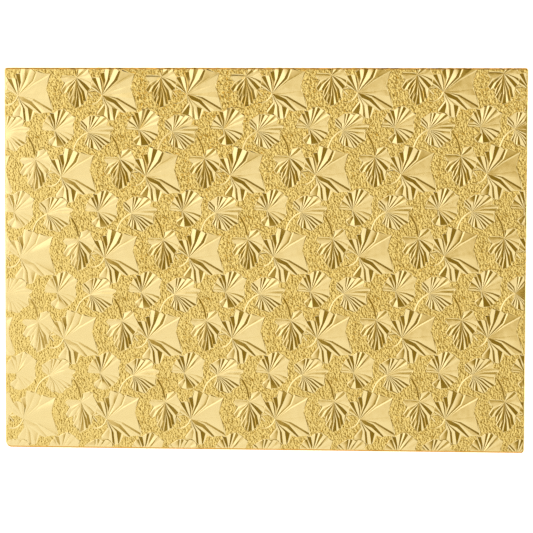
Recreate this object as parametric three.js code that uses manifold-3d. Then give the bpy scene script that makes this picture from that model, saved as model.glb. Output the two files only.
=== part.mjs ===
// Foil-wrapped cake board: a corrugated board inside one folded sheet of embossed gold foil paper,
// with a plain sheet glued over the folds underneath.
// Millimetres. X runs along the long side, Z is up, and the origin is under the middle of the board.
import * as THREE from 'three';
import { mergeVertices } from 'three/addons/utils/BufferGeometryUtils.js';
import Module from 'manifold-3d';

const wasm = await Module();
wasm.setup();

// Board
const boardLength = 476.25;
const boardWidth = 349.25;
const boardThickness = 12.7;
const backLeftRadius = 2.5;
const backRightRadius = 2;
const frontRightRadius = 3;
const frontLeftRadius = 5.5;
const tightestRadius = 0.6;
const cornerSteps = 4;

// Foil paper
const foilThickness = 0.35;
const shoulderRadius = 1.4;
const shoulderSteps = 3;
const foldRadius = 0.9;
const foldSteps = 2;
const flapWidth = 22;
const mitreWidth = 0.5;
const mitreMargin = 3;

// Backing sheet, and the line of glue between one layer and the next
const backingThickness = 0.3;
const backingMargin = 9;
const glueLine = 0.1;

// Corrugated board: two layers of flutes between three flat liners
const linerThickness = 0.5;
const flutePitch = 8.5;
const fluteWall = 0.45;
const fluteCrown = 1.4;
const fluteLayers = 2;
const bondDepth = 0.05;

// Pleated leaves: heights above the foil's ground, and how deep each one is rooted in the foil
const crestHeight = 0.5;
const valleyHeight = 0.14;
const baseHeight = 0.32;
const rootDepth = 0.2;
const patternMargin = 0.3;

// The pattern repeats along these two steps
const acrossStep = new THREE.Vector2( 77.78, 0.96 );
const downStep = new THREE.Vector2( 39.76, - 73.83 );

// Each leaf is a fan of creases from its base. The creases end on the rim points below, which run
// counter-clockwise as [right, front] from the base, and are in turn a valley and a crest.
const leaves = [
	{
		base: [ - 69.6, 2.1 ],
		rim: [
			[ - 5, 16 ], [ - 4.5, 18 ], [ 1.5, 19 ], [ 9.6, 24 ], [ 11, 22.5 ], [ 20.5, 16 ], [ 21.8, 15.3 ],
			[ 31, 14.5 ], [ 31.5, 12.6 ], [ 28, 0 ], [ 26, - 9 ], [ 30, - 20.3 ], [ 11.8, - 24 ], [ 7, - 25.5 ],
			[ 2, - 26 ], [ - 1.5, - 19 ], [ - 6, - 15.7 ], [ - 9.5, - 14.5 ], [ - 9.5, - 6 ],
		],
	},
	{
		base: [ - 93.4, 17.7 ],
		rim: [
			[ - 12, - 1.2 ], [ - 14, 0.4 ], [ - 11, 3.3 ], [ - 13.5, 13 ], [ - 8, 16.5 ], [ - 6, 22 ],
			[ - 2.5, 25.5 ], [ - 3, 29 ], [ 2.4, 25 ], [ 7, 22 ], [ 8.4, 20 ], [ 9.5, 11.7 ], [ 12, 9.8 ],
			[ 12.7, 8 ], [ 13.5, 4.5 ], [ 14, 1 ], [ 11, - 2.6 ], [ 11, - 7 ], [ 1.5, - 7.5 ],
		],
	},
	{
		base: [ - 75.6, 44.6 ],
		rim: [
			[ - 5.5, 8.8 ], [ - 5, 10.6 ], [ - 1.5, 14.5 ], [ 2.3, 14.3 ], [ 8, 13.3 ], [ 9.3, 12.8 ],
			[ 10.5, 10.7 ], [ 17, 4.5 ], [ 16.5, - 3 ], [ 18.3, - 12 ], [ 14.2, - 12.4 ], [ 13.5, - 16.3 ],
			[ 10.3, - 17.3 ], [ 7.8, - 19 ], [ - 0.8, - 15.3 ], [ - 4, - 15 ], [ - 9, - 8.3 ], [ - 11, - 4 ],
			[ - 10.5, - 0.6 ],
		],
	},
	{
		base: [ - 45, 42.8 ],
		rim: [
			[ - 3.3, 8.8 ], [ 1.5, 13.8 ], [ 5.3, 14.3 ], [ 12, 15.5 ], [ 13.3, 12.7 ], [ 17.8, 9.9 ],
			[ 19.8, 8.8 ], [ 20.3, 6.2 ], [ 19.5, 1.7 ], [ 23.5, - 5 ], [ 17, - 6.3 ], [ 18.5, - 10.5 ],
			[ 11.8, - 14.8 ], [ 9.8, - 13.8 ], [ 6.8, - 14.8 ], [ 1.6, - 14.5 ], [ - 5, - 10.4 ],
			[ - 6.5, - 6.3 ], [ - 6.3, - 4 ],
		],
	},
];

const creaseLengths = leaves.flatMap( ( leaf ) => leaf.rim.map( ( end ) => Math.hypot( ...end ) ) );
const longestCrease = Math.max( ...creaseLengths );

// Heights from the bottom up: backing, glue, folded flap, glue, corrugated board, glue, foil
const flapUnderside = backingThickness + glueLine;
const boardBottom = flapUnderside + foilThickness + glueLine;
const boardTop = boardThickness - foilThickness - glueLine;

const foilMaterial = new THREE.MeshStandardMaterial( { color: 0xd9b860, roughness: 0.32, metalness: 0.9 } );
const kraftMaterial = new THREE.MeshStandardMaterial( { color: 0xb58f62, roughness: 0.9, metalness: 0 } );
const paperMaterial = new THREE.MeshStandardMaterial( { color: 0xf1eee6, roughness: 0.85, metalness: 0 } );

// A closed geometry as a solid that can be joined and cut.
function solidFrom( geometry ) {

	const bare = geometry.clone();
	bare.deleteAttribute( 'normal' );
	bare.deleteAttribute( 'uv' );
	const merged = mergeVertices( bare );
	return new wasm.Manifold( new wasm.Mesh( {
		numProp: 3,
		vertProperties: new Float32Array( merged.attributes.position.array ),
		triVerts: new Uint32Array( merged.index.array ),
	} ) );

}

function geometryFrom( solid ) {

	const mesh = solid.getMesh();
	const geometry = new THREE.BufferGeometry();
	geometry.setAttribute( 'position', new THREE.BufferAttribute( mesh.vertProperties, 3 ) );
	geometry.setIndex( new THREE.BufferAttribute( mesh.triVerts, 1 ) );
	geometry.computeVertexNormals();
	return geometry;

}

// The board's rounded outline, drawn in by an inset, at one height. Counter-clockwise from above.
function outlineRing( inset, height ) {

	const corners = [
		{ radius: backRightRadius, x: 1, y: 1 },
		{ radius: backLeftRadius, x: - 1, y: 1 },
		{ radius: frontLeftRadius, x: - 1, y: - 1 },
		{ radius: frontRightRadius, x: 1, y: - 1 },
	];
	const points = [];
	corners.forEach( ( { radius, x, y }, quarter ) => {

		const bend = Math.max( radius - inset, tightestRadius );
		const centreX = x * ( boardLength / 2 - inset - bend );
		const centreY = y * ( boardWidth / 2 - inset - bend );
		for ( let step = 0; step <= cornerSteps; step ++ ) {

			const angle = ( quarter + step / cornerSteps ) * Math.PI / 2;
			const across = centreX + bend * Math.cos( angle );
			const along = centreY + bend * Math.sin( angle );
			points.push( new THREE.Vector3( across, along, height ) );

		}

	} );
	return points;

}

// Rings joined one to the next, with a cap over the first ring and another over the last.
function loft( rings ) {

	const count = rings[ 0 ].length;
	const index = [];
	for ( let level = 0; level < rings.length - 1; level ++ ) {

		for ( let i = 0; i < count; i ++ ) {

			const a = level * count + i;
			const b = level * count + ( i + 1 ) % count;
			index.push( a, a + count, b, b, a + count, b + count );

		}

	}

	const lastRing = ( rings.length - 1 ) * count;
	for ( let i = 1; i < count - 1; i ++ ) {

		index.push( 0, i, i + 1 );
		index.push( lastRing, lastRing + i + 1, lastRing + i );

	}

	const geometry = new THREE.BufferGeometry().setFromPoints( rings.flat() );
	geometry.setIndex( index );
	return geometry;

}

// Quarter bend of the section, from its upper end to its lower one, as [inset, height].
function bendProfile( radius, skin, centreHeight, firstAngle, steps ) {

	return Array.from( { length: steps + 1 }, ( _, step ) => {

		const angle = firstAngle - step / steps * Math.PI / 2;
		const reach = radius - skin;
		return [ radius - reach * Math.cos( angle ), centreHeight + reach * Math.sin( angle ) ];

	} );

}

// Section of the board's side, a skin's depth inside the outer face: shoulder, wall and lower fold.
function sideProfile( skin ) {

	return [
		...bendProfile( shoulderRadius, skin, boardThickness - shoulderRadius, Math.PI / 2, shoulderSteps ),
		...bendProfile( foldRadius, skin, flapUnderside + foldRadius, 0, foldSteps ),
	];

}

// The folded sheet: over the top, round the shoulders, down the walls and under to the flaps' edge,
// then back along its inner face.
function foldedSheet() {

	const profile = [
		...sideProfile( 0 ),
		[ flapWidth, flapUnderside ],
		[ flapWidth, flapUnderside + foilThickness ],
		...sideProfile( foilThickness ).reverse(),
	];
	return solidFrom( loft( profile.map( ( [ inset, height ] ) => outlineRing( inset, height ) ) ) );

}

// The slit between two flaps, where they meet on a corner's diagonal.
function mitreCut( x, y ) {

	const length = ( flapWidth - mitreMargin ) * Math.SQRT2;
	const middle = ( flapWidth + mitreMargin ) / 2;
	const cut = new THREE.BoxGeometry( length + mitreWidth, mitreWidth, foilThickness * 4 );
	cut.rotateZ( x * y * Math.PI / 4 );
	cut.translate( x * ( boardLength / 2 - middle ), y * ( boardWidth / 2 - middle ), flapUnderside );
	return solidFrom( cut );

}

// One pleated leaf: a fan of facets over its outline, with walls down into the foil.
function leafSolid( rim, base ) {

	const crown = [ new THREE.Vector3( base.x, base.y, boardThickness + baseHeight ) ];
	rim.forEach( ( [ right, front ], i ) => {

		const height = i % 2 ? crestHeight : valleyHeight;
		crown.push( new THREE.Vector3( base.x + right, base.y - front, boardThickness + height ) );

	} );
	const root = crown.map( ( point ) => new THREE.Vector3( point.x, point.y, boardThickness - rootDepth ) );
	return solidFrom( loft( [ crown, root ] ) );

}

// Every leaf of the repeat that reaches the top face.
function leafPattern() {

	const reachX = boardLength / 2 + longestCrease;
	const reachY = boardWidth / 2 + longestCrease;
	const rows = Math.ceil( 2 * reachY / Math.abs( downStep.y ) );
	const columns = Math.ceil( 2 * reachX / acrossStep.x ) + rows;
	const found = [];
	for ( let row = - rows; row <= rows; row ++ ) {

		for ( let column = - columns; column <= columns; column ++ ) {

			for ( const leaf of leaves ) {

				const base = new THREE.Vector2( ...leaf.base );
				base.addScaledVector( acrossStep, column ).addScaledVector( downStep, row );
				if ( Math.abs( base.x ) < reachX && Math.abs( base.y ) < reachY ) {

					found.push( leafSolid( leaf.rim, base ) );

				}

			}

		}

	}

	const inset = shoulderRadius + patternMargin;
	const topFace = solidFrom( loft( [
		outlineRing( inset, boardThickness + crestHeight * 2 ),
		outlineRing( inset, boardThickness - foilThickness ),
	] ) );
	return found.reduce( ( joined, leaf ) => joined.add( leaf ) ).intersect( topFace );

}

function foilWrap() {

	let wrap = foldedSheet().add( leafPattern() );
	for ( const x of [ - 1, 1 ] ) {

		for ( const y of [ - 1, 1 ] ) {

			wrap = wrap.subtract( mitreCut( x, y ) );

		}

	}

	return geometryFrom( wrap );

}

// One layer of fluting: a strip along the board's length that steps from crown to crown across the width.
function fluting( floor, height ) {

	const rise = height - fluteWall;
	const slope = Math.atan2( rise, flutePitch / 2 - fluteCrown );
	const crownShift = fluteWall / 2 * Math.tan( slope / 2 );
	const crowns = 2 * Math.floor( ( boardWidth - 2 * flutePitch ) / flutePitch ) + 1;
	const rings = [];
	for ( let crown = 0; crown < crowns; crown ++ ) {

		const isHigh = crown % 2;
		const middle = ( crown - ( crowns - 1 ) / 2 ) * flutePitch / 2;
		const level = floor + fluteWall / 2 + isHigh * rise;
		const lowerHalf = fluteCrown / 2 + ( isHigh ? - crownShift : crownShift );
		const upperHalf = fluteCrown - lowerHalf;
		for ( const side of [ - 1, 1 ] ) {

			rings.push( [
				new THREE.Vector3( - boardLength / 2, middle + side * lowerHalf, level - fluteWall / 2 ),
				new THREE.Vector3( boardLength / 2, middle + side * lowerHalf, level - fluteWall / 2 ),
				new THREE.Vector3( boardLength / 2, middle + side * upperHalf, level + fluteWall / 2 ),
				new THREE.Vector3( - boardLength / 2, middle + side * upperHalf, level + fluteWall / 2 ),
			] );

		}

	}

	return solidFrom( loft( rings ) );

}

// Double-wall board with its flutes along the long side, trimmed to the inside of the folded sheet.
function corrugatedBoard() {

	const linerSpacing = ( boardTop - boardBottom - linerThickness ) / fluteLayers;
	const fluteHeight = linerSpacing - linerThickness + 2 * bondDepth;
	const inside = sideProfile( foilThickness + glueLine );
	const trim = solidFrom( loft( inside.map( ( [ inset, height ] ) => outlineRing( inset, height ) ) ) );
	const layers = [];
	for ( let liner = 0; liner <= fluteLayers; liner ++ ) {

		const sheet = new THREE.BoxGeometry( boardLength, boardWidth, linerThickness );
		sheet.translate( 0, 0, boardBottom + linerThickness / 2 + liner * linerSpacing );
		layers.push( solidFrom( sheet ) );

	}

	for ( let layer = 0; layer < fluteLayers; layer ++ ) {

		const floor = boardBottom + linerThickness - bondDepth + layer * linerSpacing;
		layers.push( fluting( floor, fluteHeight ) );

	}

	return geometryFrom( layers.reduce( ( joined, layer ) => joined.add( layer ) ).intersect( trim ) );

}

function backingSheet() {

	return loft( [ outlineRing( backingMargin, backingThickness ), outlineRing( backingMargin, 0 ) ] );

}

const group = new THREE.Group();

function addPiece( name, geometry, material ) {

	const mesh = new THREE.Mesh( geometry, material );
	mesh.name = name;
	group.add( mesh );

}

addPiece( 'foil_wrap', foilWrap(), foilMaterial );
addPiece( 'corrugated_core', corrugatedBoard(), kraftMaterial );
addPiece( 'backing_sheet', backingSheet(), paperMaterial );

export default group;
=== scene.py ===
# Cake board: one sheet of embossed gold foil folded round a corrugated board, seen from above.
import math

import bpy
import numpy as np
from mathutils import Matrix, Vector
from mathutils.geometry import delaunay_2d_cdt


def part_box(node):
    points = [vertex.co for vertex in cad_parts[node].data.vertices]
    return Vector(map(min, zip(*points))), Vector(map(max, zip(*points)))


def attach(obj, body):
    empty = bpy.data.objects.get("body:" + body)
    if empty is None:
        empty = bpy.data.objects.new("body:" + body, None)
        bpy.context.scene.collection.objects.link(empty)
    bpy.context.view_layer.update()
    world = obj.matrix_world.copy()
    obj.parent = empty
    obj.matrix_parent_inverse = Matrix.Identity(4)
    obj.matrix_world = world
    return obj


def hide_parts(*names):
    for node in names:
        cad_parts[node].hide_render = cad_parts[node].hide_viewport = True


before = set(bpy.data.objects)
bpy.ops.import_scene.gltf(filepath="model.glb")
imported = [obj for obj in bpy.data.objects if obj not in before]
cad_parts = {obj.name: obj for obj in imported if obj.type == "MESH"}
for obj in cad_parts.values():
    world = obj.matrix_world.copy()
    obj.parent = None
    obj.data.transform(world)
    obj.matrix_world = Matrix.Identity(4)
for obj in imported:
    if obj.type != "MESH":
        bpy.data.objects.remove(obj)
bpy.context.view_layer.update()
mm = 0.001
tiny = 1e-9  # least number that a length is divided by


def toLinear(hexColour):
    # sRGB hex to linear light: each channel is ((c + 0.055) / 1.055) to the power 2.4
    values = [int(hexColour[i:i + 2], 16) / 255 for i in (1, 3, 5)]
    return tuple(v / 12.92 if v <= 0.04045 else ((v + 0.055) / 1.055) ** 2.4 for v in values) + (1.0,)


def addNode(tree, kind, settings=None, links=None, **options):
    # one node, its fixed settings by socket name, and its links by socket name
    node = tree.nodes.new(kind)
    for name, value in options.items():
        setattr(node, name, value)
    for name, value in (settings or {}).items():
        node.inputs[name].default_value = value
    for name, source in (links or {}).items():
        tree.links.new(source, node.inputs[name])
    return node


def newMaterial(name):
    # a material with an empty node tree
    material = bpy.data.materials.new(name)
    material.use_nodes = True
    tree = material.node_tree
    tree.nodes.clear()
    return material, tree


# The folded sheet, in millimetres
sheet = {
    "ground": 12.7,  # height of the plain foil between the leaves
    "shoulder": 1.4,  # bend at the top edge
    "fold": 0.9,  # bend at the bottom edge
    "underside": 0.4,  # height of the folded flaps
    "flap": 22.0,
    "skin": 0.42,  # thickness of foil and paper
    "corners": (2.0, 2.5, 5.5, 3.0),  # radii: back right, back left, front left, front right
    "tightest": 0.6,  # least radius that a corner is given inside a bend
    "cornerSteps": 10,
    "shoulderSteps": 5,
    "edgeStep": 8.0,  # spacing of points along an edge
    "weld": 1e-4,  # points of the flat sheet that are closer than this are one
    "rimSlack": 0.01,  # how far a point may lie from the rim's line and still be on it
}

# Shape of the folded sheet
boxLow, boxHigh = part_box("foil_wrap")
outerHalf = np.array([boxHigh[0], boxHigh[1]]) / mm
innerHalf = outerHalf - sheet["shoulder"]
cornerSigns = np.array([[1, 1], [-1, 1], [-1, -1], [1, -1]])
outerRadii = np.array(sheet["corners"])
innerRadii = np.maximum(outerRadii - sheet["shoulder"], sheet["tightest"])
shoulderLength = sheet["shoulder"] * math.pi / 2
wallLength = sheet["ground"] - sheet["shoulder"] - sheet["underside"] - sheet["fold"]
foldLength = sheet["fold"] * math.pi / 2
wallEnd = shoulderLength + wallLength
foldEnd = wallEnd + foldLength
sheetEnd = foldEnd + sheet["flap"] - sheet["fold"]
sheetHalf = innerHalf + sheetEnd

# Distances beyond the flat top at which the sheet is cut, so that it can bend
bends = [shoulderLength * step / sheet["shoulderSteps"] for step in range(sheet["shoulderSteps"] + 1)]
bends += [shoulderLength + wallLength / 2, wallEnd, wallEnd + foldLength / 2, foldEnd, sheetEnd]


def cornerOf(points):
    # index of the corner whose quadrant holds each point
    right, back = points[:, 0] >= 0, points[:, 1] >= 0
    return np.where(back, np.where(right, 0, 1), np.where(right, 3, 2))


def beyondEdge(points):
    # distance outside the flat top: length of the point less its nearest core point, less the corner radius.
    # Also gives that core point and the way from it to the point, both as if at the back right, and the corner.
    corner = cornerOf(points)
    core = innerHalf - innerRadii[corner][:, None]
    anchor = np.minimum(np.abs(points), core)
    reach = np.abs(points) - anchor
    return np.linalg.norm(reach, axis=1) - innerRadii[corner], anchor, reach, corner


def foldSheet(points, lift):
    # flat sheet to folded sheet: the distance beyond the edge runs round the shoulder's arc, down the wall,
    # round the fold's arc and in along the flap; lift moves a point along the surface's normal
    distance, anchor, reach, corner = beyondEdge(points)
    length = np.maximum(np.linalg.norm(reach, axis=1), tiny)
    outward = reach / length[:, None]
    shoulder, fold = sheet["shoulder"], sheet["fold"]
    bend = np.clip(distance, 0, shoulderLength) / shoulder
    down = np.clip(distance - shoulderLength, 0, wallLength)
    turn = np.clip(distance - wallEnd, 0, foldLength) / fold
    along = np.clip(distance - foldEnd, 0, None)
    out = shoulder * np.sin(bend) - fold * (1 - np.cos(turn)) - along
    height = sheet["ground"] - shoulder * (1 - np.cos(bend)) - down - fold * np.sin(turn)
    angle = bend + turn
    out = out + lift * np.sin(angle)
    height = height + lift * np.cos(angle)
    inset = shoulder - out
    radius = np.maximum(outerRadii[corner] - inset, sheet["tightest"])
    core = innerHalf - innerRadii[corner][:, None]
    ratio = (outerHalf - (inset + radius)[:, None]) / core
    folded = anchor * ratio + outward * radius[:, None]
    onTop = distance <= 0
    folded[onTop] = np.abs(points[onTop])
    sign = cornerSigns[corner]
    return np.column_stack([folded * sign, height])


def edgeLoop(distance):
    # outline of the flat sheet at one distance beyond the edge: four arcs joined by straight runs
    loop, arcs = [], []
    for quarter in range(4):
        radius = innerRadii[quarter]
        angle = (quarter + np.linspace(0, 1, sheet["cornerSteps"] + 1)) * math.pi / 2
        centre = cornerSigns[quarter] * (innerHalf - radius)
        arcs.append(centre + (radius + distance) * np.column_stack([np.cos(angle), np.sin(angle)]))
    for quarter in range(4):
        start, end = arcs[quarter][-1], arcs[(quarter + 1) % 4][0]
        count = int(np.linalg.norm(end - start) / sheet["edgeStep"])
        run = np.linspace(0, 1, count + 1)[1:-1, None]
        loop += [arcs[quarter], start + run * (end - start)]
    return np.vstack(loop)


# The repeat, in millimetres: two steps of the lattice, and each leaf's base, from the middle of the board
lattice = np.array([[77.55, 0.86], [39.74, -73.90]])
rowStep = 70.0  # about the distance between two rows of repeats
repeatReach = 60.0  # from a repeat's middle to past its farthest leaf
leafBases = {
    "broadLeaf": (-68.4, 1.85),
    "hangingLeaf": (-92.15, 17.45),
    "fanLeaf": (-74.4, 44.35),
    "curledLeaf": (-43.85, 42.5),
}

# Creases of each leaf, counter-clockwise, as a kind and then points in (right, front) from the leaf's
# base, in millimetres. c is a crest, v is a valley, s and w are a soft crest and a soft valley, and m lies
# level with the ground.
leafCreases = {
    "broadLeaf": (
        ("v", 0.5, 4, 1, 8, -5, 16), ("c", 1, 4.5, 2, 9, -4.6, 18), ("v", 1.2, 4.8, 2.6, 12, 1.5, 18.6),
        ("c", 1.8, 5.2, 4.2, 10.5, 5.2, 21), ("v", 2.6, 5.2, 6.2, 12, 7.3, 22.8),
        ("c", 3.2, 5.2, 9, 11.4, 10.5, 22.6), ("v", 3.4, 5, 13.6, 12.9, 11.4, 22),
        ("m", 3.6, 4.9, 14, 12.3, 15, 14.4), ("c", 4, 4.5, 10.6, 7.4, 20.5, 16),
        ("v", 5.5, 1.6, 12.6, 5, 21.6, 15.2), ("s", 6.5, 1.5, 12.7, 3.4, 25, 14.4),
        ("c", 7, 1.4, 14.6, 4.4, 31, 14.3), ("v", 7.4, 1.1, 14.4, 2.6, 31.3, 12.5),
        ("s", 7, 0.6, 15.5, 1.4, 29, 3), ("w", 6.5, -0.4, 14, -1, 26.5, -2.7),
        ("s", 6.5, -1.5, 13, -3, 26, -6.3), ("w", 6.5, -2.5, 13, -5, 26, -9),
        ("c", 6.2, -4, 14, -9.8, 29, -18.2), ("v", 6.2, -4.7, 14.8, -11.6, 30, -20.3),
        ("m", 6, -4.9, 15, -12.6, 25.5, -19.8), ("c", 5.8, -5, 14.7, -13.2, 18.3, -22),
        ("v", 5.2, -5.2, 13.8, -13.6, 16.6, -21.4), ("c", 4, -5.4, 10.9, -13.5, 15.2, -22.2),
        ("v", 3, -6.2, 7, -14.2, 11, -24.2), ("c", 2, -7, 4.8, -14, 6.8, -25.4),
        ("m", 1.6, -7.2, 3.2, -14, 3.4, -26.4), ("v", 1.4, -7.2, 2.7, -12.4, 1.9, -20.4),
        ("c", 0.8, -5.6, 1, -10.5, -1.5, -19), ("v", 0.2, -4.6, 0.1, -9.4, -1, -14.8),
        ("c", -0.4, -4.4, -1, -8.6, -2.4, -15.2), ("m", -0.8, -4.2, -2, -8.4, -3.7, -16),
        ("v", -1.6, -3.8, -3.2, -7.6, -6, -15.7), ("c", -2.2, -3.4, -4.6, -7.2, -9.4, -14.6),
        ("v", -2.4, -3.2, -4.9, -6.3, -10, -12.3), ("c", -2.6, -2.4, -5.2, -4.9, -10, -8),
        ("v", -2.4, -1.7, -4.6, -3, -9.5, -6),
    ),
    "hangingLeaf": (
        ("v", -3, -1.2, -7.5, -1.4, -13, -1.6), ("c", -4, -0.2, -8, -0.3, -14, 0.2),
        ("c", -3, 0.8, -6.5, 1.2, -12, 2.6), ("v", -3, 1.8, -6.5, 2.8, -10.5, 4.8),
        ("c", -4, 3.4, -9.9, 6.4, -13.6, 11.4), ("v", -4, 4.4, -8.7, 8.6, -11.8, 14),
        ("c", -2, 3.6, -6.2, 7.8, -8.8, 12.4), ("v", -1.4, 4.4, -4.4, 9.2, -7.2, 13.8),
        ("c", -1.8, 7, -5.5, 12, -7.2, 17.2), ("v", -1.2, 8, -4.1, 13.6, -5.8, 18.6),
        ("c", -1.1, 7.6, -3.1, 14.2, -6.8, 20.8), ("v", -0.2, 8.2, -1.2, 15.8, -4.8, 22.9),
        ("c", -0.5, 9.4, -1.8, 17.6, -3.9, 23.4), ("v", 0.1, 10, -0.5, 19.2, -2, 25.4),
        ("c", 0.3, 10.4, 0.6, 17.6, -1.2, 27.6), ("v", 0.8, 10.4, 2.1, 17.2, 2.4, 25.8),
        ("c", 0.9, 8.6, 3, 16.2, 4.4, 24.4), ("v", 1.8, 8.2, 4.8, 15.4, 6.3, 23.6),
        ("c", 2, 7, 5, 12.8, 6.4, 21), ("v", 2.6, 6.4, 7, 12.2, 8.8, 20.2),
        ("c", 2.2, 2.6, 5.8, 7, 10.2, 12.4), ("v", 3.4, 1.6, 8.1, 5.2, 12.4, 9.6),
        ("s", 4, 1, 9, 3.4, 13.6, 7), ("v", 4, 0.4, 9, 2.2, 13.6, 4.4),
        ("c", 4, -0.4, 9, -0.2, 14.4, 0.6), ("v", 4, -1, 7.5, -1.4, 11.6, -3.4),
        ("c", 3.6, -1.8, 7, -3.2, 11, -5.8), ("v", 2.6, -1.8, 6.4, -4.2, 10.4, -8),
        ("c", 1.6, -2.4, 4.6, -5.6, 8.2, -9.2), ("v", 0.8, -2.2, 1.5, -4.6, 1.9, -7.4),
    ),
    "fanLeaf": (
        ("v", -0.3, 5.3, -5.5, 8.8), ("c", 0.5, 6.3, -5.2, 10.4), ("v", 0.9, 7, -2.4, 13.8),
        ("c", 1.5, 6, 2.1, 14.3), ("v", 2.6, 4.6, 5.4, 8.8, 8.2, 13), ("c", 3.6, 5, 6.4, 8.6, 9, 12.6),
        ("v", 4, 4.8, 7.4, 8, 10.4, 11.2), ("c", 5, 3.2, 9.2, 6.6, 12.2, 9.6),
        ("v", 5.4, 2.6, 10.2, 5.9, 13.8, 8.4), ("c", 4.8, 1.4, 10, 2.8, 15.8, 5.6),
        ("v", 5, 0.6, 10.4, 1.5, 16.9, 4), ("c", 5, -0.4, 11, -1, 17.4, 2.2),
        ("w", 5, -1.2, 11, -2.2, 16.7, -2.6), ("c", 5, -1.9, 10.6, -3.6, 16.8, -5.2),
        ("w", 5, -2.7, 10.6, -5.4, 17.2, -8.2), ("c", 4.6, -3, 10, -7.2, 18.6, -12),
        ("v", 4, -3, 9, -7.6, 15.6, -13.2), ("v", 3.5, -3, 8.4, -7.8, 14.4, -14.2),
        ("c", 3, -3.6, 7.2, -8.6, 13.6, -16.2), ("v", 5.2, -9, 10.3, -17.3), ("c", 4.2, -9.3, 7.8, -19),
        ("v", 3.2, -9.3, 5.8, -19), ("c", 1.9, -8.6, 3.2, -17.6), ("v", 0.6, -7.7, -0.8, -15.3),
        ("c", -1, -7.3, -4, -15), ("v", -2, -6.4, -4.4, -13), ("c", -3.1, -5.7, -6.4, -12),
        ("v", -4.2, -4.7, -9, -8.3), ("c", -4.7, -3.7, -9.7, -6.8), ("v", -5, -2.6, -11, -2.8),
        ("c", -5.5, -1.6, -11.3, -1.6), ("v", -5, -0.3, -10.5, -0.6),
    ),
    "curledLeaf": (
        ("v", -1.1, 4.5, -3.3, 8.8), ("c", -0.5, 5, -2.8, 9.6), ("v", 0.3, 5.4, -1.5, 10.8),
        ("c", 1, 6, 0.2, 12.4), ("v", 1.8, 6.8, 1, 13.6), ("c", 2.7, 7, 2.4, 14),
        ("v", 4, 7.3, 5.3, 14.3), ("c", 5.6, 7.8, 9.8, 15.8), ("v", 6.4, 7.8, 10.8, 15.5),
        ("c", 7, 7.5, 12.4, 15), ("v", 7.3, 6.8, 13.3, 12.7), ("c", 7.6, 5.6, 14.3, 11.5),
        ("v", 8.8, 4.8, 15.8, 10.8), ("c", 9.8, 4, 17.8, 9.9), ("v", 10.4, 3.2, 19.8, 8.8),
        ("c", 10.8, 2.1, 20.3, 6.2), ("v", 10, 0.9, 19.5, 1.7), ("c", 10.2, -1, 20.7, -0.8),
        ("v", 11, -2.6, 22.5, -3), ("c", 11.6, -3.9, 23.5, -5), ("v", 9.4, -4.5, 17, -6.3),
        ("c", 9.4, -5.6, 18.5, -10.5), ("v", 8.8, -6.2, 17.5, -12.7), ("c", 7.5, -6.4, 15.5, -14.2),
        ("v", 5.9, -6.6, 11.8, -14.8), ("c", 4.7, -7, 9.8, -13.8), ("v", 3.6, -7.5, 6.8, -14.8),
        ("c", 2.8, -7.6, 4.6, -15), ("v", 2, -7.5, 3.1, -14.8), ("c", 1.2, -7, 1.6, -14.5),
        ("v", -0.8, -5.8, -5, -10.4), ("c", -2, -5.3, -6.3, -9.8), ("v", -2.8, -4.5, -6.8, -8.8),
        ("c", -3, -3.2, -6.5, -6.3), ("v", -3, -1.8, -6.3, -4),
    ),
}

# Stems: points from each leaf's base, the half width, the height, and how far the crown leans to the left
# of its run as a part of the half width. A height below 0 is a groove.
# The broad leaf also has a curl beside its base, and the hanging leaf has a vein that runs out past it.
leafStems = {
    "broadLeaf": (
        (((0, 0), (-2, 4), (-5, 7), (-9, 8.5), (-13, 8)), 0.7, 0.35, 0.3),
        (((-4, -3), (-6.5, -4), (-9.5, -4), (-13, -3)), 0.7, -0.35, 0.3),
    ),
    "hangingLeaf": (
        (((0, -0.6), (-0.4, -5), (-1.4, -10), (-3.2, -15), (-6, -20), (-9.4, -24)), 0.85, -0.45, -0.5),
        (((8.5, 11.5), (11, 14), (14.5, 18)), 0.7, -0.35, -0.4),
    ),
    "curledLeaf": (
        (((0, 0), (-3.5, 1.8), (-6.6, 4.2), (-9.6, 7.6), (-11.6, 11.4), (-13.2, 16)), 0.75, 0.40, 0.3),
    ),
}

# How deep the pleats are pressed, in millimetres
relief = {
    "slope": 0.34,  # rise of a pleat over the width of its steeper side
    "crestShare": 0.55,  # part of that rise that stands above the ground
    "highest": 0.60,  # most that a crest stands above the ground
    "deepest": 0.34,  # most that a valley lies below it
    "base": 0.05,  # height of a leaf's base
    "steepSide": (0.98, 0.20),  # the side on which every pleat is steeper
    "crossShare": 0.35,  # part of the rise left in a pleat that faces at a right angle to that side
    "skirt": 0.35,  # width of the drop from a leaf's rim to the ground
    "skirtGrowth": 1.4,  # and how much wider it is for each millimetre of height
    "sharpCorner": 0.6,  # a rim's corner whose two normals add up to less has a shorter skirt
    "onShoulder": 0.30,  # part of the height left where the foil is stretched round the shoulder
    "onWall": 0.75,
    "onFlap": 0.10,
    "stretched": (-1.0, 0.3),  # where the stretching starts and is full, beyond the flat top
    "relaxed": 1.5,  # how far below the shoulder it ends
    "fromLeft": ((-238, 0.45), (-195, 0.62), (-110, 1.0)),  # place and part left: less at the left side
    "fromFront": ((-175, 0.76), (-70, 0.84), (60, 1.08), (175, 1.40)),  # and less at the front
    "softness": 0.8,  # part of the rise that a soft crease has
    "softRim": 0.35,  # and the part it has at the leaf's rim
    "sharpValley": 9.0,  # degrees between two faces past which a valley stays sharp
    "sharpCrest": 21.0,
}

# How near is enough when a point is matched to a facet
match = {
    "box": 0.01,  # mm added round the facet's box
    "area": 1e-9,  # square mm that a facet must have, twice over
    "weight": 1e-4,  # how far a weight may be below 0
}


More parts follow.
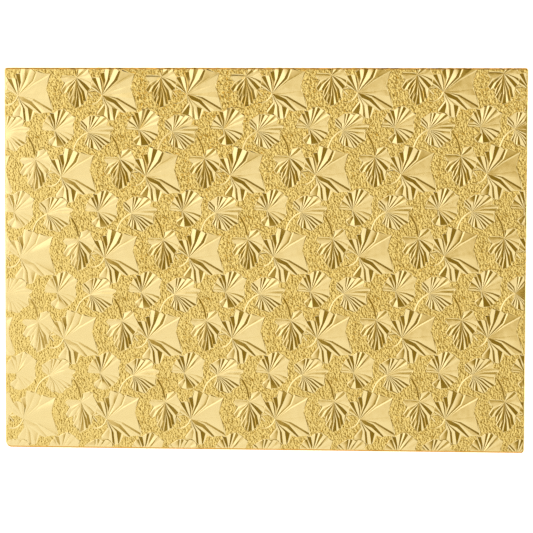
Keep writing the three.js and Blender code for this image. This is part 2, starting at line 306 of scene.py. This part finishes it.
def leafFacets(creases):
    # one leaf as flat triangles with a height at each corner, and which of them are its skirt: two creases
    # side by side hold five triangles, and the outline is pushed out by the skirt for the drop to the ground.
    # A crease of two points gets one more halfway between them.
    lines = []
    for _, *places in creases:
        points = np.array(places, float).reshape(-1, 2) * (1, -1)
        if len(points) == 2:
            points = np.array([points[0], points.mean(axis=0), points[1]])
        lines.append(points)
    rings = np.array(lines).transpose(1, 0, 2)
    kinds = np.array([crease[0] for crease in creases])
    isCrest, isSoft = np.isin(kinds, ("c", "s")), np.isin(kinds, ("s", "w"))

    def creaseHeights(points):
        # the rise is the slope times the width of the pleat on the steeper side of the crease, and is less
        # where that pleat faces across the steeper side
        step = np.diff(points, axis=0)
        width = np.linalg.norm(step, axis=1)
        facing = (step * relief["steepSide"]).sum(axis=1) > 0
        nextIsSteep = np.append(facing, False) == isCrest
        nextIsSteep[0], nextIsSteep[-1] = True, False
        aligned = np.abs(step @ relief["steepSide"]) / width
        rises = relief["slope"] * width * (relief["crossShare"] + (1 - relief["crossShare"]) * aligned)
        rise = np.where(nextIsSteep, np.append(rises, 0), np.append(0, rises))
        rise = np.where(isSoft, rise * relief["softness"], np.where(kinds == "m", 0, rise))
        above = np.minimum(rise * relief["crestShare"], relief["highest"])
        below = np.minimum(rise * (1 - relief["crestShare"]), relief["deepest"])
        return np.where(isCrest, above, -below)

    ringHeights = [creaseHeights(ring) for ring in rings]
    ringHeights[2] = ringHeights[2] * np.where(isSoft, relief["softRim"] / relief["softness"], 1)
    base = np.zeros(2)
    outline = np.vstack([base, rings[:2, 0], rings[2], rings[1::-1, -1]])
    heights = np.concatenate([
        [relief["base"]], [ringHeights[0][0], ringHeights[1][0]], ringHeights[2],
        [ringHeights[1][-1], ringHeights[0][-1]]])
    ahead = np.roll(outline, -1, axis=0) - outline
    sides = np.column_stack([ahead[:, 1], -ahead[:, 0]]) / np.linalg.norm(ahead, axis=1)[:, None]
    corners = sides + np.roll(sides, 1, axis=0)
    corners /= np.maximum(np.linalg.norm(corners, axis=1), relief["sharpCorner"])[:, None]
    skirt = outline + corners * (relief["skirt"] + relief["skirtGrowth"] * np.abs(heights))[:, None]

    triangles, levels = [], []

    def add(a, b, c, ha, hb, hc):
        # one triangle and the heights of its corners
        triangles.append((a, b, c))
        levels.append((ha, hb, hc))

    bands = list(zip(rings, rings[1:], ringHeights, ringHeights[1:]))
    for i in range(len(kinds) - 1):
        add(base, rings[0, i], rings[0, i + 1], relief["base"], ringHeights[0][i], ringHeights[0][i + 1])
        for inner, outer, low, high in bands:
            add(inner[i], outer[i], outer[i + 1], low[i], high[i], high[i + 1])
            add(inner[i], outer[i + 1], inner[i + 1], low[i], high[i + 1], low[i + 1])
    for i in range(len(outline)):
        j = (i + 1) % len(outline)
        add(outline[i], skirt[i], skirt[j], heights[i], 0, 0)
        add(outline[i], skirt[j], outline[j], heights[i], 0, heights[j])
    isRim = np.arange(len(triangles)) >= 5 * (len(kinds) - 1)
    return np.array(triangles), np.array(levels), isRim


def stemFacets(points, halfWidth, height, lean):
    # a ridge along a line: its crown at the full height, set off its middle by the lean times the half width,
    # and its feet at the ground
    line = np.array(points, float) * (1, -1)
    ahead = np.gradient(line, axis=0)
    side = np.column_stack([-ahead[:, 1], ahead[:, 0]]) / np.linalg.norm(ahead, axis=1)[:, None] * halfWidth
    triangles, levels = [], []
    crown = line + lean * side
    for foot in (line + side, line - side):
        for i in range(len(line) - 1):
            triangles += [(crown[i], foot[i], foot[i + 1]), (crown[i], foot[i + 1], crown[i + 1])]
            levels += [(height, 0, 0), (height, 0, height)]
    return np.array(triangles), np.array(levels), np.zeros(len(triangles), bool)


def repeatFacets():
    # triangles, their heights, and which of them drop from a rim to the ground
    triangles, levels, rims = [], [], []
    for name, base in leafBases.items():
        found = [leafFacets(leafCreases[name])]
        found += [stemFacets(*stem) for stem in leafStems.get(name, ())]
        for shape, level, isRim in found:
            triangles.append(shape + np.array(base))
            levels.append(level)
            rims.append(isRim)
    return np.concatenate(triangles), np.concatenate(levels), np.concatenate(rims)


def heightAt(points, triangles, levels):
    # highest facet over each point, found in the repeat that the point falls in, by barycentric weights;
    # minus infinity where no leaf is. Also gives that facet's number.
    cell = points @ np.linalg.inv(lattice)
    centre = triangles.mean(axis=(0, 1)) @ np.linalg.inv(lattice)
    local = points - np.round(cell - centre) @ lattice
    order = np.argsort(local[:, 0])
    along = local[order, 0]
    height = np.full(len(points), -np.inf)
    top = np.full(len(points), -1)
    shifts = np.array([(i, j) for i in (-1, 0, 1) for j in (-1, 0, 1)]) @ lattice
    for shift in shifts:
        for number, ((a, b, c), level) in enumerate(zip(triangles + shift, levels)):
            area = (b[0] - a[0]) * (c[1] - a[1]) - (b[1] - a[1]) * (c[0] - a[0])
            low = np.minimum(np.minimum(a, b), c) - match["box"]
            high = np.maximum(np.maximum(a, b), c) + match["box"]
            first, last = np.searchsorted(along, (low[0], high[0]))
            near = order[first:last]
            near = near[(local[near, 1] > low[1]) & (local[near, 1] < high[1])]
            if len(near) == 0 or abs(area) < match["area"]:
                continue
            offset = local[near] - a
            second = (offset[:, 0] * (c[1] - a[1]) - offset[:, 1] * (c[0] - a[0])) / area
            third = (offset[:, 1] * (b[0] - a[0]) - offset[:, 0] * (b[1] - a[1])) / area
            slack = match["weight"]
            inside = (second > -slack) & (third > -slack) & (second + third < 1 + slack)
            value = level[0] * (1 - second - third) + level[1] * second + level[2] * third
            hit, value = near[inside], value[inside]
            higher = value > height[hit]
            height[hit[higher]] = value[higher]
            top[hit[higher]] = number
    return height, top


# Stippled ground between the leaves: pebbles rolled into the foil on a jittered grid of even triangles, in
# millimetres. They are drawn coarser than a roller's real grain, so that they show.
stipple = {
    "spacing": 1.25,
    "rowRatio": 0.87,  # distance between two rows as a part of the spacing
    "jitter": 0.42,  # part of the spacing
    "height": 0.40,  # most that a pebble stands above or below the ground
    "clearance": 0.25,  # kept from each leaf's rim
    "downShoulder": 0.8,  # part of the shoulder's bend that has pebbles
    "seed": 4,
}


def stippleGround(triangles, levels, shifts):
    # points of a jittered grid over one repeat that miss every leaf, with a random height for each, and their
    # copies at every shift
    random = np.random.default_rng(stipple["seed"])
    columns = int(lattice[0, 0] / stipple["spacing"])
    rows = int(-lattice[1, 1] / stipple["rowRatio"] / stipple["spacing"])
    u, v = np.meshgrid(np.arange(columns), np.arange(rows))
    cell = np.stack([(u + v % 2 / 2) / columns, v / rows], axis=-1).reshape(-1, 2)
    points = cell @ lattice + random.uniform(-1, 1, cell.shape) * stipple["spacing"] * stipple["jitter"]
    height = random.uniform(-1, 1, len(points)) * stipple["height"]
    free = np.ones(len(points), bool)
    for turn in np.arange(6) * math.pi / 3:
        shift = stipple["clearance"] * np.array([math.cos(turn), math.sin(turn)])
        free &= heightAt(points + shift, triangles, levels)[1] < 0
    copies = (points[free] + shifts[:, None, :]).reshape(-1, 2)
    onTop = beyondEdge(copies)[0] < shoulderLength * stipple["downShoulder"]
    return copies[onTop], np.tile(height[free], len(shifts))[onTop]


def markCreases(mesh):
    # an edge is a valley where the middle of its second face lies above the plane of its first one,
    # and sharp where the two faces meet at more than the set angle
    loopEdge = np.empty(len(mesh.loops), np.int32)
    mesh.loops.foreach_get("edge_index", loopEdge)
    loopCount = np.empty(len(mesh.polygons), np.int32)
    mesh.polygons.foreach_get("loop_total", loopCount)
    normal = np.empty(3 * len(mesh.polygons))
    mesh.polygons.foreach_get("normal", normal)
    middle = np.empty(3 * len(mesh.polygons))
    mesh.polygons.foreach_get("center", middle)
    normal, middle = normal.reshape(-1, 3), middle.reshape(-1, 3)
    order = np.argsort(loopEdge, kind="stable")
    order = order[np.bincount(loopEdge)[loopEdge[order]] == 2].reshape(-1, 2)
    first, second = np.repeat(np.arange(len(mesh.polygons)), loopCount)[order].T
    above = ((middle[second] - middle[first]) * normal[first]).sum(axis=1) > 0
    limit = np.where(above, relief["sharpValley"], relief["sharpCrest"])
    sharp = np.zeros(len(mesh.edges), bool)
    sharp[loopEdge[order[:, 0]]] = (normal[first] * normal[second]).sum(axis=1) < np.cos(np.radians(limit))
    marks = mesh.attributes.new("sharp_edge", "BOOLEAN", "EDGE")
    marks.data.foreach_set("value", sharp)


def cutSheet(triangles, levels):
    # points of the flat sheet, the height of the stippled ground at each, and triangles between them that
    # keep to every crease, rim and bend
    count = int(np.ceil(2 * np.linalg.norm(sheetHalf) / rowStep))
    steps = np.array([(i, j) for i in range(-count, count + 1) for j in range(-count, count + 1)])
    shifts = steps @ lattice
    near = (np.abs(shifts + triangles.mean(axis=(0, 1))) < sheetHalf + repeatReach).all(axis=1)
    lines = (triangles + shifts[near][:, None, None, :]).reshape(-1, 3, 2)
    kept = (beyondEdge(lines.reshape(-1, 2))[0].reshape(-1, 3) < foldEnd).any(axis=1)
    corners = lines[kept].reshape(-1, 2)
    order = np.arange(len(corners)).reshape(-1, 3)
    edges = np.vstack([order[:, [0, 1]], order[:, [1, 2]], order[:, [2, 0]]])
    for distance in bends:
        loop = edgeLoop(distance)
        numbers = np.arange(len(loop)) + len(corners)
        edges = np.vstack([edges, np.column_stack([numbers, np.roll(numbers, -1)])])
        corners = np.vstack([corners, loop])
    pebbles, pebbleHeight = stippleGround(triangles, levels, shifts)
    corners = np.vstack([corners, pebbles])

    # points that are the same to a thousandth of a millimetre become one
    unique, where = np.unique(np.round(corners, 3), axis=0, return_inverse=True)
    where = where.reshape(-1)
    edges = np.unique(np.sort(where[edges], axis=1), axis=0)
    edges = edges[edges[:, 0] != edges[:, 1]]
    bump = np.zeros(len(unique) + 1)
    bump[where[-len(pebbles):]] = pebbleHeight
    points = [Vector(point) for point in unique.tolist()]
    result = delaunay_2d_cdt(points, edges.tolist(), [], 0, sheet["weld"], True)
    flat = np.array([tuple(point) for point in result[0]])
    ground = bump[[numbers[0] if numbers else -1 for numbers in result[3]]]
    faces = np.array(result[2])
    print("foil: cut into", len(faces), "triangles")

    faces = faces[beyondEdge(flat[faces].mean(axis=1))[0] < sheetEnd]
    used, faces = np.unique(faces, return_inverse=True)
    return flat[used], ground[used], faces.reshape(-1, 3)


def liftOf(flat, ground, triangles, levels):
    # height of the leaf or else of the ground over each point, times the part left by the bends, times the
    # part left by the distance from the left, times the part left by the distance from the front
    height, top = heightAt(flat, triangles, levels)
    height = np.where(top < 0, ground, height)
    onShoulder, onWall, onFlap = relief["onShoulder"], relief["onWall"], relief["onFlap"]
    places = [*relief["stretched"], shoulderLength, shoulderLength + relief["relaxed"], wallEnd, foldEnd]
    share = np.interp(beyondEdge(flat)[0], places, [1, onShoulder, onShoulder, onWall, onWall, onFlap])
    for side, marks in enumerate((relief["fromLeft"], relief["fromFront"])):
        share = share * np.interp(flat[:, side], *np.transpose(marks))
    return height * share


def innerFace(flat):
    # the sheet's inner face, from the flaps' edge back to under the top: at each bend a ring of points at the
    # skin's depth, quads from each ring to the one before it, and one face that closes the last ring
    rim = np.flatnonzero(np.abs(beyondEdge(flat)[0] - sheetEnd) < sheet["rimSlack"])
    turn = np.arctan2(flat[rim, 1] / sheetHalf[1], flat[rim, 0] / sheetHalf[0])
    rim = rim[np.argsort(turn)]
    _, anchor, outward, corner = beyondEdge(flat[rim])
    outward = outward / np.linalg.norm(outward, axis=1)[:, None]
    rings, quads, before = [], [], rim
    for back in reversed(bends):
        ring = (anchor + outward * (innerRadii[corner] + back)[:, None]) * cornerSigns[corner]
        numbers = len(flat) + len(rings) * len(rim) + np.arange(len(rim))
        rings.append(foldSheet(ring, np.full(len(rim), -sheet["skin"])))
        quads.append(np.column_stack([np.roll(before, -1), before, numbers, np.roll(numbers, -1)]))
        before = numbers
    return np.vstack(rings), np.vstack(quads), before[::-1]


def buildFoil():
    # the flat sheet is cut, raised by its relief, folded and given its inner face
    triangles, levels, rims = repeatFacets()
    flat, ground, faces = cutSheet(triangles, levels)
    outer = foldSheet(flat, liftOf(flat, ground, triangles, levels))
    inner, quads, cap = innerFace(flat)
    mesh = bpy.data.meshes.new("embossed_foil")
    points = np.vstack([outer, inner]) * mm
    mesh.from_pydata(points.tolist(), [], faces.tolist() + quads.tolist() + [cap.tolist()])

    # slot 0 is for the leaves, 1 for the ground and everything inside, 2 for the two long shoulders with
    # painted shade
    middle = flat[faces].mean(axis=1)
    beyond, _, outward, _ = beyondEdge(middle)
    onShoulder = (beyond > 0) & (beyond < shoulderLength)
    onLongShoulder = onShoulder & (outward[:, 1] > outward[:, 0])
    top = heightAt(middle, triangles, levels)[1]
    onLeaf = top >= 0
    onPleat = onLeaf & ~rims[top]
    insideCount = len(quads) + 1
    slots = np.append(np.where(onLongShoulder, 2, np.where(onLeaf, 0, 1)), np.ones(insideCount, int))
    smooth = np.append(onPleat | onShoulder, np.zeros(insideCount, bool))
    for name, colours, roughness, grainDepth in (
            ("metallisedFoil", ("gold", "paleGold"), "roughness", 0),
            # the stippled foil's deeper gold is painted shade from light bouncing between the pebbles
            ("stippledFoil", ("shadedDeepGold", "shadedStippledGold"), "stippleRoughness", foil["grainDepth"]),
            # the darker, oranger gold on the long shoulders is painted shade where the foil turns round them
            ("shoulderShadeFoil", ("shoulderShadeGold", "shoulderShadeGold"), "roughness", 0)):
        colours = [foil[colour] for colour in colours]
        mesh.materials.append(metallisedFoil(name, colours, foil[roughness], grainDepth))
    mesh.polygons.foreach_set("material_index", slots.astype(np.int32))
    mesh.polygons.foreach_set("use_smooth", smooth)
    mesh.update()
    markCreases(mesh)
    piece = bpy.data.objects.new("embossed_foil", mesh)
    bpy.context.collection.objects.link(piece)
    print("foil:", len(mesh.vertices), "points, with", np.bincount(slots), "faces by slot")
    return piece


# Colours of the foil, and the patterns on it in millimetres
foil = {
    "gold": "#fde9b0",
    "paleGold": "#fbe5a6",
    # the stippled ground's deeper, more saturated gold is painted shade from light bouncing between its pebbles
    "shadedDeepGold": "#fce396",
    "shadedStippledGold": "#f6da86",
    "shoulderShadeGold": "#e2ab4e",  # painted shade along the two long shoulders, where the foil bends away from the light
    "roughness": 0.20,
    "stippleRoughness": 0.30,
    "patches": 40.0,  # between patches of a slightly different tint
    "crumple": 14.0,  # between soft creases of the paper
    "crumpleDepth": 0.25,
    "grain": 1.7,  # between bumps of the stippled ground, coarser than the real grain so that they show
    "grainDepth": 0.40,
    "grainJitter": 0.85,
}


def metallisedFoil(name, colours, roughness, grainDepth):
    # vacuum-metallised gold film on paper: a tinted mirror that the embossing rollers have dulled a little
    material, tree = newMaterial(name)
    place = addNode(tree, "ShaderNodeTexCoord").outputs["Object"]
    patches = addNode(tree, "ShaderNodeTexNoise", {"Scale": 1 / (foil["patches"] * mm), "Detail": 3.0},
                      {"Vector": place})
    tint = addNode(tree, "ShaderNodeMix", {"A": toLinear(colours[0]), "B": toLinear(colours[1])},
                   {"Factor": patches.outputs["Fac"]}, data_type="RGBA")
    crumple = addNode(tree, "ShaderNodeTexNoise", {"Scale": 1 / (foil["crumple"] * mm), "Detail": 2.0},
                      {"Vector": place})
    soft = addNode(tree, "ShaderNodeBump", {"Strength": 1.0, "Distance": foil["crumpleDepth"] * mm},
                   {"Height": crumple.outputs["Fac"]})
    normal = soft.outputs["Normal"]
    if grainDepth > 0:
        pebbles = addNode(tree, "ShaderNodeTexVoronoi", {
            "Scale": 1 / (foil["grain"] * mm), "Randomness": foil["grainJitter"]}, {"Vector": place})
        grain = addNode(tree, "ShaderNodeBump", {"Strength": 1.0, "Distance": grainDepth * mm},
                        {"Height": pebbles.outputs["Distance"], "Normal": normal}, invert=True)
        normal = grain.outputs["Normal"]
    shader = addNode(tree, "ShaderNodeBsdfPrincipled", {"Metallic": 1.0, "Roughness": roughness},
                     {"Base Color": tint.outputs["Result"], "Normal": normal})
    addNode(tree, "ShaderNodeOutputMaterial", None, {"Surface": shader.outputs["BSDF"]})
    return material


# Lengths in millimetres. Single fibres are too fine to show, so bundles of them are drawn.
kraft = {
    "colours": ("#a98255", "#c19c6d"),
    "roughness": 0.9,
    "bundle": 1.0,  # across a bundle of fibres
    "stretch": 0.3,  # bundles are longer by one over this
    "depth": 0.05,
    "strength": 0.4,
}


def kraftBoard():
    # unbleached kraft liner and fluting: matt brown paper with long fibres
    material, tree = newMaterial("kraftBoard")
    place = addNode(tree, "ShaderNodeTexCoord").outputs["Object"]
    stretched = addNode(tree, "ShaderNodeMapping", {"Scale": (kraft["stretch"], 1.0, 1.0)}, {"Vector": place})
    fibres = addNode(tree, "ShaderNodeTexNoise", {"Scale": 1 / (kraft["bundle"] * mm), "Detail": 4.0},
                     {"Vector": stretched.outputs["Vector"]})
    dark, light = (toLinear(colour) for colour in kraft["colours"])
    tint = addNode(tree, "ShaderNodeMix", {"A": dark, "B": light}, {"Factor": fibres.outputs["Fac"]},
                   data_type="RGBA")
    bump = addNode(tree, "ShaderNodeBump", {"Strength": kraft["strength"], "Distance": kraft["depth"] * mm},
                   {"Height": fibres.outputs["Fac"]})
    shader = addNode(tree, "ShaderNodeBsdfPrincipled", {"Roughness": kraft["roughness"]},
                     {"Base Color": tint.outputs["Result"], "Normal": bump.outputs["Normal"]})
    addNode(tree, "ShaderNodeOutputMaterial", None, {"Surface": shader.outputs["BSDF"]})
    return material


# Lengths in millimetres. These fibres too are drawn coarser than real ones, so that they show.
paper = {
    "colours": ("#e9e6dc", "#f6f4ee"),
    "roughness": 0.8,
    "cloud": 6.0,
    "fibre": 0.5,
    "depth": 0.03,
    "strength": 0.3,
}


def backingPaper():
    # bleached machine-finished paper: matt white with faint cloudy fibres
    material, tree = newMaterial("backingPaper")
    place = addNode(tree, "ShaderNodeTexCoord").outputs["Object"]
    clouds = addNode(tree, "ShaderNodeTexNoise", {"Scale": 1 / (paper["cloud"] * mm), "Detail": 6.0},
                     {"Vector": place})
    dark, light = (toLinear(colour) for colour in paper["colours"])
    tint = addNode(tree, "ShaderNodeMix", {"A": dark, "B": light}, {"Factor": clouds.outputs["Fac"]},
                   data_type="RGBA")
    fibres = addNode(tree, "ShaderNodeTexNoise", {"Scale": 1 / (paper["fibre"] * mm), "Detail": 3.0},
                     {"Vector": place})
    bump = addNode(tree, "ShaderNodeBump", {"Strength": paper["strength"], "Distance": paper["depth"] * mm},
                   {"Height": fibres.outputs["Fac"]})
    shader = addNode(tree, "ShaderNodeBsdfPrincipled", {"Roughness": paper["roughness"]},
                     {"Base Color": tint.outputs["Result"], "Normal": bump.outputs["Normal"]})
    addNode(tree, "ShaderNodeOutputMaterial", None, {"Surface": shader.outputs["BSDF"]})
    return material


# Camera over the upper right of the board, aimed close to its middle. Places are in metres.
camera = {
    "place": (0.1073, 0.0971, 1.8094),
    "aim": (0.0027, -0.0059, 0.0127),
    "roll": 0.196,  # degrees
    "lens": 133.5,
    "farthest": 20.0,
}


def setCamera():
    # the view looks from its place to its aim, with its right square to the world's Y, and is then rolled
    data = bpy.data.cameras.new("camera")
    data.lens = camera["lens"]
    data.clip_end = camera["farthest"]
    view = bpy.data.objects.new("camera", data)
    bpy.context.collection.objects.link(view)
    place, aim = Vector(camera["place"]), Vector(camera["aim"])
    back = (place - aim).normalized()
    right = Vector((0, 1, 0)).cross(back).normalized()
    turn = Matrix((right, back.cross(right), back)).transposed().to_4x4()
    roll = Matrix.Rotation(math.radians(camera["roll"]), 4, "Z")
    view.matrix_world = Matrix.Translation(place) @ turn @ roll
    bpy.context.scene.camera = view


# Soft light, in metres and watts. The sky is bright on the left and dim on the right, by its direction along
# the dim side. The room's pale walls are mixed in by height: white stops are all wall, black ones all sky.
# The horizon tints both from front to back, where the room is dark.
studio = {
    "dimSide": (0.95, 0.31, 0.0),
    "sky": ((-0.40, "#fffdf4"), (-0.08, "#faf5e8"), (0.02, "#efe3c4"), (0.14, "#b79f48"),
            (0.28, "#7b6612"), (0.50, "#877020")),
    "room": ((0.0, "#ffffff"), (0.42, "#ffffff"), (0.72, "#000000"), (1.0, "#000000")),
    "roomColour": "#eadfbe",
    "horizon": ((-1.0, "#ffffff"), (0.78, "#ffffff"), (0.86, "#3c2a0e"), (1.0, "#3c2a0e")),
    "strength": 1.0,
    "panelSize": 1.4,
    "panelWatts": 2.0,
    "panelPlace": (-1.1, 0.6, 1.5),
    "floorHalf": 6.0,
    "floorColour": "#f4f4f2",
    "floorRoughness": 0.9,
    "floorGlow": 0.9,
}


def addRamp(tree, value, stops):
    # colour along a value, from stops of (value, colour): each lies at (value - first) / (last - first)
    first, last = stops[0][0], stops[-1][0]
    share = addNode(tree, "ShaderNodeMapRange", {"From Min": first, "From Max": last}, {"Value": value})
    ramp = addNode(tree, "ShaderNodeValToRGB", None, {"Fac": share.outputs["Result"]})
    marks = ramp.color_ramp.elements
    for place, _ in stops[1:-1]:
        marks.new((place - first) / (last - first))
    for mark, (_, colour) in zip(marks, stops):
        mark.color = toLinear(colour)
    return ramp.outputs["Color"]


def setSky():
    # colour of a direction: the sky by its dot product with the dim side, mixed with the walls by its height,
    # times the horizon's tint by its Y
    world = bpy.data.worlds.new("studio")
    bpy.context.scene.world = world
    world.use_nodes = True
    tree = world.node_tree
    tree.nodes.clear()
    direction = addNode(tree, "ShaderNodeTexCoord").outputs["Generated"]
    towards = addNode(tree, "ShaderNodeVectorMath", None, {0: direction}, operation="DOT_PRODUCT")
    towards.inputs[1].default_value = studio["dimSide"]
    parts = addNode(tree, "ShaderNodeSeparateXYZ", None, {"Vector": direction})
    light = addRamp(tree, towards.outputs["Value"], studio["sky"])
    share = addRamp(tree, parts.outputs["Z"], studio["room"])
    walls = addNode(tree, "ShaderNodeMix", {"B": toLinear(studio["roomColour"])},
                    {"Factor": share, "A": light}, data_type="RGBA")
    tint = addRamp(tree, parts.outputs["Y"], studio["horizon"])
    both = addNode(tree, "ShaderNodeVectorMath", None, {0: walls.outputs["Result"], 1: tint},
                   operation="MULTIPLY")
    sky = addNode(tree, "ShaderNodeBackground", {"Strength": studio["strength"]},
                  {"Color": both.outputs["Vector"]})
    addNode(tree, "ShaderNodeOutputWorld", None, {"Surface": sky.outputs["Background"]})


def addPanel():
    # a square lamp whose face is turned to the middle of the board's underside
    panel = bpy.data.lights.new("panel", "AREA")
    panel.size = studio["panelSize"]
    panel.energy = studio["panelWatts"]
    lamp = bpy.data.objects.new("panel", panel)
    bpy.context.collection.objects.link(lamp)
    lamp.location = studio["panelPlace"]
    lamp.rotation_euler = (-lamp.location).to_track_quat("-Z", "Y").to_euler()


def addFloor():
    # a square with its middle under the board, a little bright by itself
    mesh = bpy.data.meshes.new("floor")
    half = studio["floorHalf"]
    mesh.from_pydata([(-half, -half, 0), (half, -half, 0), (half, half, 0), (-half, half, 0)], [],
                     [(0, 1, 2, 3)])
    floor = bpy.data.objects.new("floor", mesh)
    bpy.context.collection.objects.link(floor)
    material, floorTree = newMaterial("paleFloor")
    shader = addNode(floorTree, "ShaderNodeBsdfPrincipled", {
        "Base Color": toLinear(studio["floorColour"]), "Roughness": studio["floorRoughness"],
        "Emission Color": toLinear("#ffffff"), "Emission Strength": studio["floorGlow"]})
    addNode(floorTree, "ShaderNodeOutputMaterial", None, {"Surface": shader.outputs["BSDF"]})
    mesh.materials.append(material)


def dress(name, material):
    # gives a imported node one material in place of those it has
    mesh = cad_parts[name].data
    mesh.materials.clear()
    mesh.materials.append(material)


setCamera()
print("camera set")
embossedFoil = buildFoil()
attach(embossedFoil, "root")
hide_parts("foil_wrap")
dress("corrugated_core", kraftBoard())
dress("backing_sheet", backingPaper())
print("materials set")
setSky()
addPanel()
addFloor()
bpy.context.scene.view_settings.view_transform = "Standard"
print("studio set")
